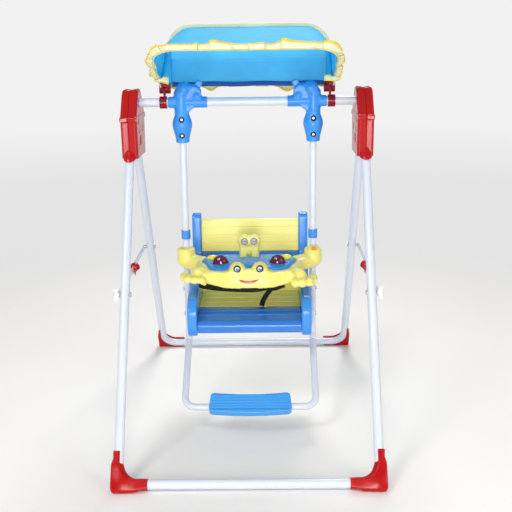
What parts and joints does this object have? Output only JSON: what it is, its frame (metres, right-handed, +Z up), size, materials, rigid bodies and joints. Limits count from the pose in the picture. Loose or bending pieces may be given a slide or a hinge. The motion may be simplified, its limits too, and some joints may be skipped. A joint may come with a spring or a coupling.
{
  "type": "baby swing",
  "caption": "Folding A-frame swing for a small child: tube stand, hanging moulded seat with a crab-shaped tray, footrest and cloth canopy.",
  "frame": {"origin": "middle of the stand on the floor, under the crossbar", "axes": "+X across the swing, +Y to the rear, +Z up; a sitting child faces -Y"},
  "size_m": [0.7138, 1.0766, 1.131],
  "materials": {
    "steel_white": "white powder coat, satin",
    "plastic_white": "plain moulded",
    "plastic_red": "glossy moulded",
    "plastic_dark_red": "glossy moulded",
    "plastic_blue": "glossy moulded",
    "plastic_deep_blue": "glossy moulded",
    "plastic_yellow": "glossy moulded",
    "panel_yellow": "glossy moulded",
    "lens_purple": "clear tinted",
    "button_yellow": "glossy moulded",
    "button_orange": "glossy moulded",
    "eye_white": "glossy moulded",
    "screw_steel": "zinc plated",
    "cloth_blue": "woven",
    "webbing_black": "woven webbing"
  },
  "bodies": {
    "stand": {"front_leg_tube": "steel_white", "crossbar": "steel_white", "front_foot_left": "plastic_red", "front_foot_right": "plastic_red", "housing_outer_left": "plastic_red", "housing_inner_left": "plastic_red", "housing_outer_right": "plastic_red", "housing_inner_right": "plastic_red", "leg_pivot_bolts": "screw_steel", "leg_fixing_bolts": "screw_steel", "brace_bolts_front": "screw_steel", "canopy_clamp_left": "plastic_dark_red", "canopy_clamp_right": "plastic_dark_red"},
    "rear_frame": {"rear_leg_tube": "steel_white", "rear_foot_left": "plastic_red", "rear_foot_right": "plastic_red", "brace_bolts_rear": "screw_steel"},
    "brace_front": {"brace_link_front_left": "steel_white", "brace_link_front_right": "steel_white", "brace_locks_inner": "plastic_red"},
    "brace_rear": {"brace_link_rear_left": "steel_white", "brace_link_rear_right": "steel_white", "brace_locks_outer": "plastic_red"},
    "wing_nut_a": {"wing_nut_left": "plastic_white"},
    "wing_nut_b": {"wing_nut_right": "plastic_white"},
    "swing": {"hanger_front_left": "plastic_blue", "hanger_back_left": "plastic_blue", "hanger_front_right": "plastic_blue", "hanger_back_right": "plastic_blue", "hanger_screws": "screw_steel", "hanging_tube_left": "steel_white", "hanging_tube_right": "steel_white", "tube_collar_left": "plastic_blue", "tube_collar_right": "plastic_blue", "lower_frame_tube": "steel_white", "footrest": "plastic_blue", "seat_side_left": "plastic_blue", "seat_side_right": "plastic_blue", "upper_back_panel": "panel_yellow", "lower_back_panel": "plastic_deep_blue", "seat_pan": "panel_yellow", "seat_front_panel": "plastic_deep_blue", "seat_bolts": "screw_steel", "waist_belt": "webbing_black", "crotch_strap": "webbing_black"},
    "tray": {"tray_body": "plastic_yellow", "tray_insert": "plastic_blue", "tray_domes": "lens_purple", "stalk_eyes": "plastic_yellow", "tray_eyes": "eye_white"},
    "push_a": {"tray_button_left": "button_yellow"},
    "push_b": {"tray_button_right": "button_yellow"},
    "latch": {"latch_button": "button_orange"},
    "canopy": {"canopy_knuckle_left": "plastic_dark_red", "canopy_knuckle_right": "plastic_dark_red", "front_bow": "steel_white", "rear_bow": "steel_white", "canopy_cover": "cloth_blue"}
  },
  "joints": [
    {"name": "swing", "type": "hinge", "parent": "stand", "child": "swing", "pos_m": [0, 0, 0.918], "axis": [1, 0, 0], "range_deg": [-35, 35]},
    {"name": "rear_fold", "type": "hinge", "parent": "stand", "child": "rear_frame", "pos_m": [0, 0.02945, 0.845], "axis": [-1, 0, 0], "range_deg": [0, 56]},
    {"name": "brace_front_fold", "type": "hinge", "parent": "stand", "child": "brace_front", "pos_m": [0, -0.27034, 0.436], "axis": [1, 0, 0], "range_deg": [0, 68.13]},
    {"name": "brace_rear_fold", "type": "hinge", "parent": "rear_frame", "child": "brace_rear", "pos_m": [0, 0.27034, 0.436], "axis": [-1, 0, 0], "range_deg": [0, 35.14]},
    {"name": "wing_nut_left_turn", "type": "hinge", "parent": "stand", "child": "wing_nut_a", "pos_m": [-0.35, -0.27034, 0.436], "axis": [1, 0, 0], "continuous": true},
    {"name": "wing_nut_right_turn", "type": "hinge", "parent": "stand", "child": "wing_nut_b", "pos_m": [0.35, -0.27034, 0.436], "axis": [1, 0, 0], "continuous": true},
    {"name": "canopy_tilt", "type": "hinge", "parent": "stand", "child": "canopy", "pos_m": [0, 0, 0.956], "axis": [1, 0, 0], "range_deg": [-25, 25]},
    {"name": "tray_gate", "type": "hinge", "parent": "swing", "child": "tray", "pos_m": [-0.185, 0, 0.47], "axis": [0, 0, -1], "range_deg": [0, 35]},
    {"name": "push_left", "type": "slide", "parent": "tray", "child": "push_a", "axis": [0, 0, -1], "range_m": [0, 0.003], "stiffness_N_per_m": 300, "springref_m": -0.002},
    {"name": "push_right", "type": "slide", "parent": "tray", "child": "push_b", "axis": [0, 0, -1], "range_m": [0, 0.003], "stiffness_N_per_m": 300, "springref_m": -0.002},
    {"name": "latch_press", "type": "slide", "parent": "tray", "child": "latch", "axis": [0, 0, -1], "range_m": [0, 0.004], "stiffness_N_per_m": 300, "springref_m": -0.002}
  ],
  "couplings": [
    {"joint": "brace_front_fold", "follows": "rear_fold", "ratio": 1.2165},
    {"joint": "brace_rear_fold", "follows": "rear_fold", "ratio": 0.6273}
  ]
}
